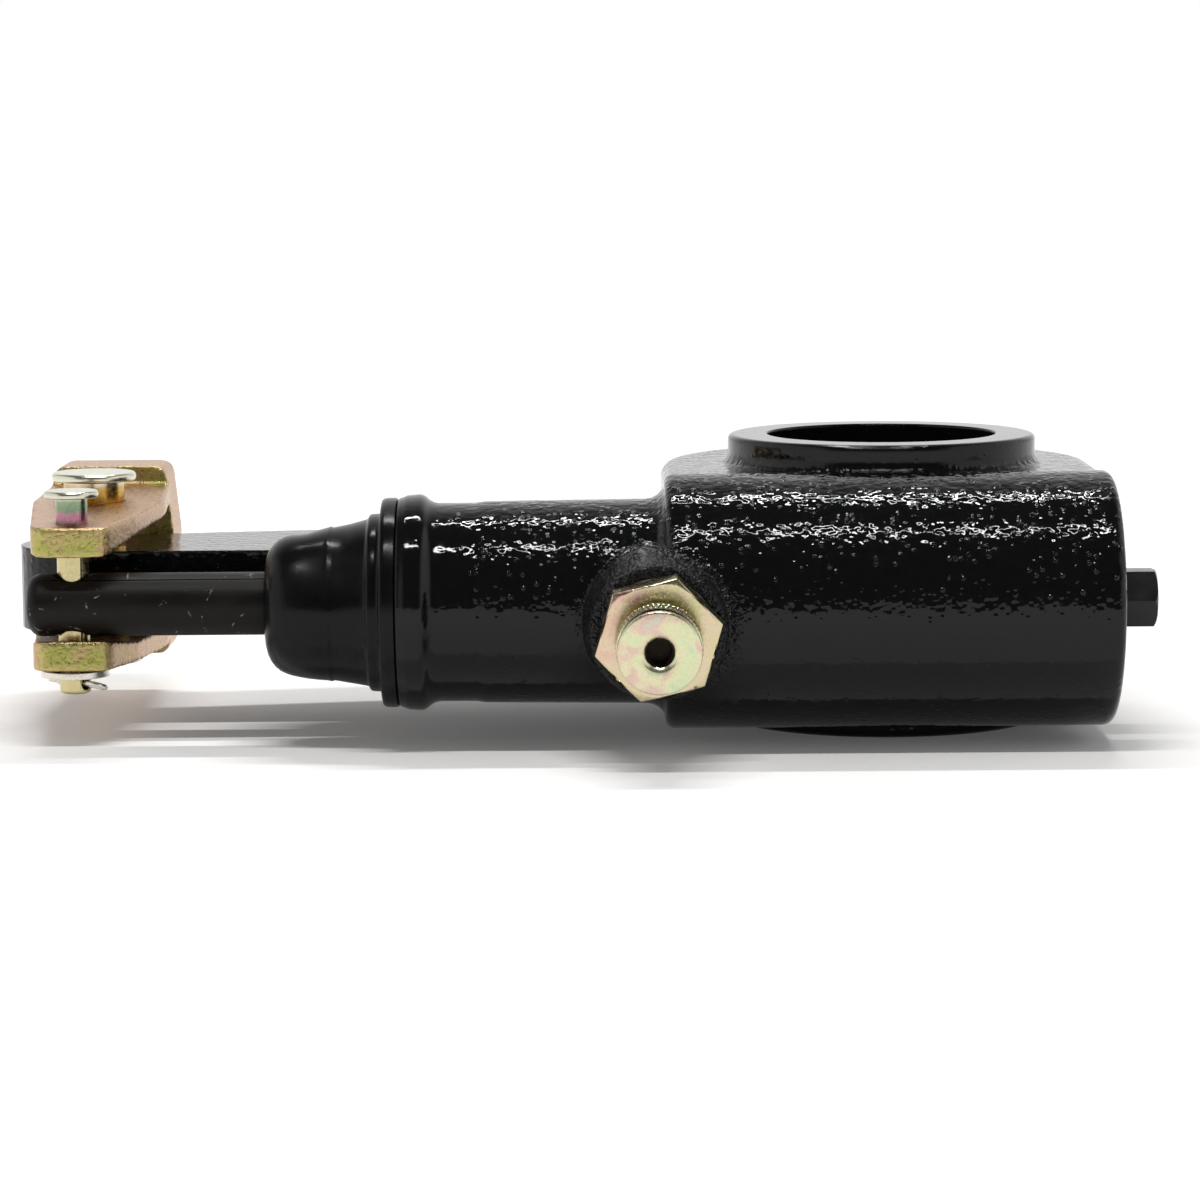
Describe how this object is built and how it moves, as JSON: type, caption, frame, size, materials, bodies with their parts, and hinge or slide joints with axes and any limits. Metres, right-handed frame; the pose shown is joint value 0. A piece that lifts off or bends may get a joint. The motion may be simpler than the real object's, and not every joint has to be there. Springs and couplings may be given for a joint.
{
  "type": "brake slack adjuster",
  "caption": "Automatic brake slack adjuster: cast arm with splined hub, worm drive, pull pawl, actuator rod in a rubber boot and a pinned clevis.",
  "frame": {"origin": "on the camshaft axis, level with the worm axis", "axes": "+Z along the camshaft axis, -X along the arm to the clevis, -Y to the worm side"},
  "size_m": [0.2332, 0.1358, 0.0592],
  "materials": {
    "casting_paint": "gloss",
    "bronze": "satin",
    "zinc_bright": "satin",
    "zinc_yellow": "satin",
    "gear_steel": "satin",
    "spring_steel": "satin",
    "seal_rubber": "matte",
    "boot_rubber": "satin",
    "black_steel": "gloss",
    "phosphate_steel": "matte",
    "gasket": "matte"
  },
  "bodies": {
    "housing": {"housing": "casting_paint", "arm_bushing": "bronze", "grease_fitting": "zinc_bright", "gear_bearing_ring": "gear_steel", "gear_retaining_ring": "spring_steel", "gear_seal_upper": "seal_rubber", "gear_seal_lower": "seal_rubber", "worm_thrust_washer": "gear_steel", "worm_collar": "gear_steel", "worm_seal": "seal_rubber", "boot": "boot_rubber", "pawl_cap": "zinc_yellow", "pawl_gasket": "gasket", "pawl_spring": "spring_steel"},
    "gear": {"cam_gear": "gear_steel"},
    "worm": {"worm_shaft": "black_steel"},
    "rod": {"actuator_rod": "phosphate_steel"},
    "piston": {"actuator_piston": "gear_steel", "piston_retaining_ring": "spring_steel"},
    "pawl": {"pawl": "gear_steel", "pawl_knob": "zinc_yellow"},
    "clevis": {"clevis": "zinc_yellow", "large_pin": "zinc_bright", "large_pin_clip": "zinc_bright", "small_pin": "zinc_bright", "small_pin_washer": "zinc_bright", "small_pin_cotter": "zinc_bright"}
  },
  "joints": [
    {"name": "gear_turn", "type": "hinge", "parent": "housing", "child": "gear", "pos_m": [0, 0, 0], "axis": [0, 0, 1], "continuous": true},
    {"name": "worm_turn", "type": "hinge", "parent": "housing", "child": "worm", "pos_m": [0, -0.0349, 0], "axis": [1, 0, 0], "continuous": true},
    {"name": "clevis_swing", "type": "hinge", "parent": "housing", "child": "clevis", "pos_m": [-0.1651, 0, 0], "axis": [0, 0, 1], "range_deg": [-11, 11]},
    {"name": "rod_slide", "type": "slide", "parent": "housing", "child": "rod", "axis": [1, 0, 0], "range_m": [-0.0068, 0.0068]},
    {"name": "piston_turn", "type": "hinge", "parent": "rod", "child": "piston", "pos_m": [-0.06, -0.0349, 0], "axis": [1, 0, 0], "continuous": true},
    {"name": "pawl_pull", "type": "slide", "parent": "housing", "child": "pawl", "axis": [0, -0.9945, -0.1045], "range_m": [0, 0.002], "stiffness_N_per_m": 4000, "springref_m": -0.002, "deforming": ["pawl_spring"]}
  ],
  "couplings": [
    {"joint": "worm_turn", "follows": "gear_turn", "ratio": -20},
    {"joint": "piston_turn", "follows": "gear_turn", "ratio": -20},
    {"joint": "rod_slide", "follows": "clevis_swing", "m_per_rad": 0.0349}
  ]
}
